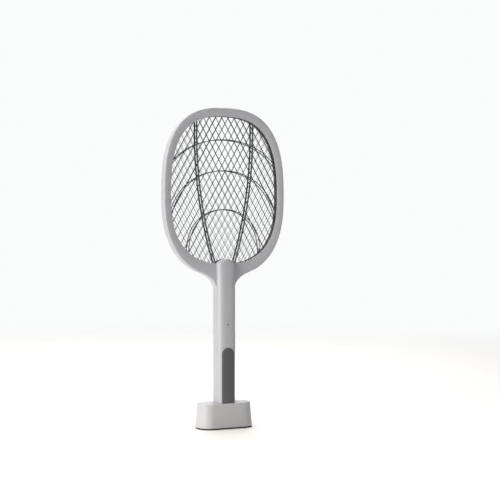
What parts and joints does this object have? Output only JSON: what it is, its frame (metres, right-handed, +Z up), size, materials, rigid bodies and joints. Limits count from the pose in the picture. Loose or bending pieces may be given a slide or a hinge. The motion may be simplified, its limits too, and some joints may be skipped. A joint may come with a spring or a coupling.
{
  "type": "electric fly swatter with charging dock",
  "caption": "Electric fly swatter: an oval racket head with layered metal nets on a straight handle, standing upright in a small weighted charging dock.",
  "frame": {"origin": "centre of the anti-slip pad's underside, on the surface the dock stands on", "axes": "+Z up along the handle, -Y towards the front of the racket, +X to the right seen from the front"},
  "size_m": [0.2114, 0.046, 0.5106],
  "materials": {
    "shell": "light grey, fine satin texture",
    "grip": "dark warm grey, satin",
    "spacer": "black",
    "net": "dark dyed expanded metal",
    "grid": "bright expanded metal",
    "lens": "smoked, polished",
    "rubber": "matt",
    "steel": "zinc plated",
    "brass": "gold plated",
    "board": "green lacquer on glass fibre",
    "component": "black moulded",
    "wrap": "shrunk sleeve",
    "lead": "insulated wire"
  },
  "bodies": {
    "dock": {"anti_slip_pad": "rubber", "ballast_left": "steel", "ballast_right": "steel", "charging_board": "board", "charging_inlet": "steel", "dock_housing": "shell", "dock_plate": "shell", "dock_screw_1": "steel", "dock_screw_2": "steel", "dock_screw_3": "steel", "dock_screw_4": "steel", "pin_barrel_left": "steel", "pin_barrel_right": "steel"},
    "racket": {"battery_cell": "wrap", "button_switch": "component", "cell_lead": "lead", "cell_tab_lower": "steel", "cell_tab_upper": "steel", "contact_pad_left": "brass", "contact_pad_right": "brass", "end_cap": "shell", "frame_screw_1": "steel", "frame_screw_2": "steel", "frame_screw_3": "steel", "frame_screw_4": "steel", "frame_screw_5": "steel", "frame_screw_6": "steel", "front_guard_net": "net", "front_shell": "shell", "front_spacer_ring": "spacer", "grid_lead": "lead", "grip_panel": "grip", "guard_lead": "component", "handle_screw_1": "steel", "handle_screw_2": "steel", "handle_screw_3": "steel", "handle_screw_4": "steel", "high_voltage_grid": "grid", "indicator_lamp": "lens", "indicator_lens": "lens", "main_board": "board", "rear_guard_net": "net", "rear_shell": "shell", "rear_spacer_ring": "spacer", "slide_switch": "steel", "step_up_transformer": "component", "storage_capacitor": "component"},
    "zap_button": {"zap_button": "grip"},
    "mode_slider": {"mode_slider": "grip"},
    "left_pin": {"charge_pin_left": "brass"},
    "right_pin": {"charge_pin_right": "brass"}
  },
  "joints": [
    {"name": "racket_lift", "type": "slide", "parent": "dock", "child": "racket", "axis": [0, 0, 1], "range_m": [0, 0.06]},
    {"name": "zap_button_press", "type": "slide", "parent": "racket", "child": "zap_button", "axis": [0, -1, 0], "range_m": [0, 0.0011], "stiffness_N_per_m": 900},
    {"name": "mode_slide", "type": "slide", "parent": "racket", "child": "mode_slider", "axis": [0, 0, 1], "range_m": [-0.0026, 0.0026]},
    {"name": "left_pin_press", "type": "slide", "parent": "dock", "child": "left_pin", "axis": [0, 0, -1], "range_m": [0, 0.001], "stiffness_N_per_m": 200},
    {"name": "right_pin_press", "type": "slide", "parent": "dock", "child": "right_pin", "axis": [0, 0, -1], "range_m": [0, 0.001], "stiffness_N_per_m": 200}
  ]
}
